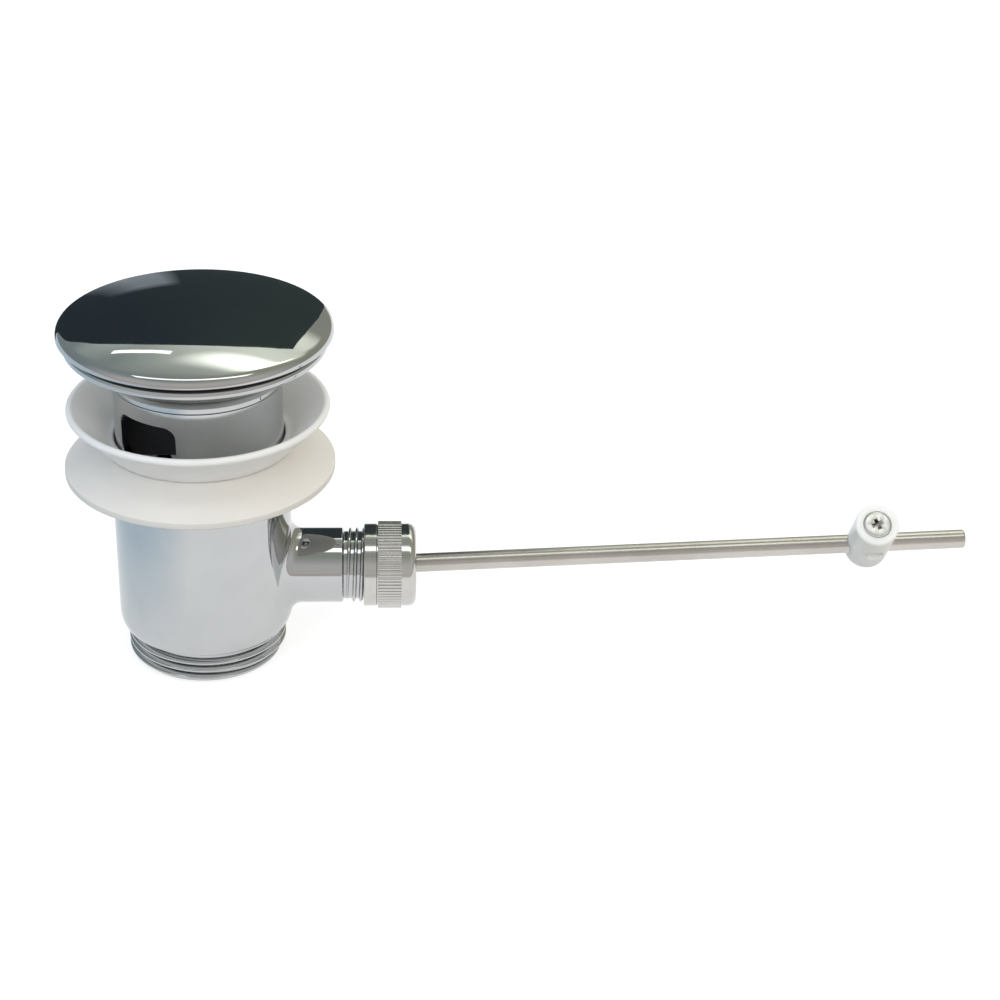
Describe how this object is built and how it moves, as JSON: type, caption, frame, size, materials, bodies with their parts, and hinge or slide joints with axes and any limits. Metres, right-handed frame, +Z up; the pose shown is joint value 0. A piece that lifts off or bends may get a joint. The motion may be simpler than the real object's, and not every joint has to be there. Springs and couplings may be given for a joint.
{
  "type": "pop-up basin waste",
  "caption": "Pop-up basin waste: domed plug and flange on a slotted overflow tube, tapered seals, threaded outlet body and a ball-joint lever rod with a clamp clip.",
  "frame": {"origin": "on the drain axis at the end of the outlet thread", "axes": "+Z up the drain axis to the plug, +X along the side branch and lever rod, +Y to the back"},
  "size_m": [0.2388, 0.0694, 0.1016],
  "materials": {
    "chrome_plate": "polished chrome over brass",
    "satin_nickel": "satin nickel over brass",
    "stainless_rod": "drawn stainless steel",
    "zinc_screw": "bright zinc",
    "white_seal": "soft moulded white plastic",
    "clip_nylon": "milky natural nylon",
    "ball_plastic": "smooth white acetal",
    "grey_plastic": "moulded dark grey plastic",
    "black_rubber": "matt black rubber"
  },
  "bodies": {
    "waste": {"waste_body": "chrome_plate", "overflow_tube": "chrome_plate", "basin_flange": "chrome_plate", "lower_washer": "white_seal", "inner_ball_seat": "ball_plastic", "ball_o_ring": "black_rubber", "outer_ball_seat": "ball_plastic"},
    "seal": {"flange_seal": "white_seal"},
    "gland": {"gland_nut": "satin_nickel"},
    "lever": {"ball_rod": "stainless_rod", "pivot_ball": "ball_plastic"},
    "clip": {"rod_clip": "clip_nylon"},
    "screw": {"clip_screw": "zinc_screw"},
    "plug": {"plug_cap": "chrome_plate", "cap_insert": "grey_plastic", "plug_stem": "grey_plastic", "plug_seal": "black_rubber", "height_screw": "zinc_screw", "lock_nut": "zinc_screw"}
  },
  "joints": [
    {"name": "lever_tilt", "type": "hinge", "parent": "waste", "child": "lever", "pos_m": [0.0464, 0, 0.0242], "axis": [0, 1, 0], "range_deg": [0, 11]},
    {"name": "plug_lift", "type": "slide", "parent": "waste", "child": "plug", "axis": [0, 0, 1], "range_m": [0, 0.009]},
    {"name": "seal_slide", "type": "slide", "parent": "waste", "child": "seal", "axis": [0, 0, 1], "range_m": [0, 0.014]},
    {"name": "gland_nut_turn", "type": "hinge", "parent": "waste", "child": "gland", "pos_m": [0.0464, 0, 0.0242], "axis": [1, 0, 0], "range_deg": [0, 450]},
    {"name": "clip_slide", "type": "slide", "parent": "lever", "child": "clip", "axis": [0.9988, 0, 0.0499], "range_m": [-0.11, 0.02]},
    {"name": "clip_screw_turn", "type": "hinge", "parent": "clip", "child": "screw", "pos_m": [0.17784, 0, 0.03077], "axis": [-0.0382, -0.6428, 0.7651], "range_deg": [0, 810]}
  ],
  "couplings": [
    {"joint": "plug_lift", "follows": "lever_tilt", "m_per_rad": 0.04676}
  ]
}
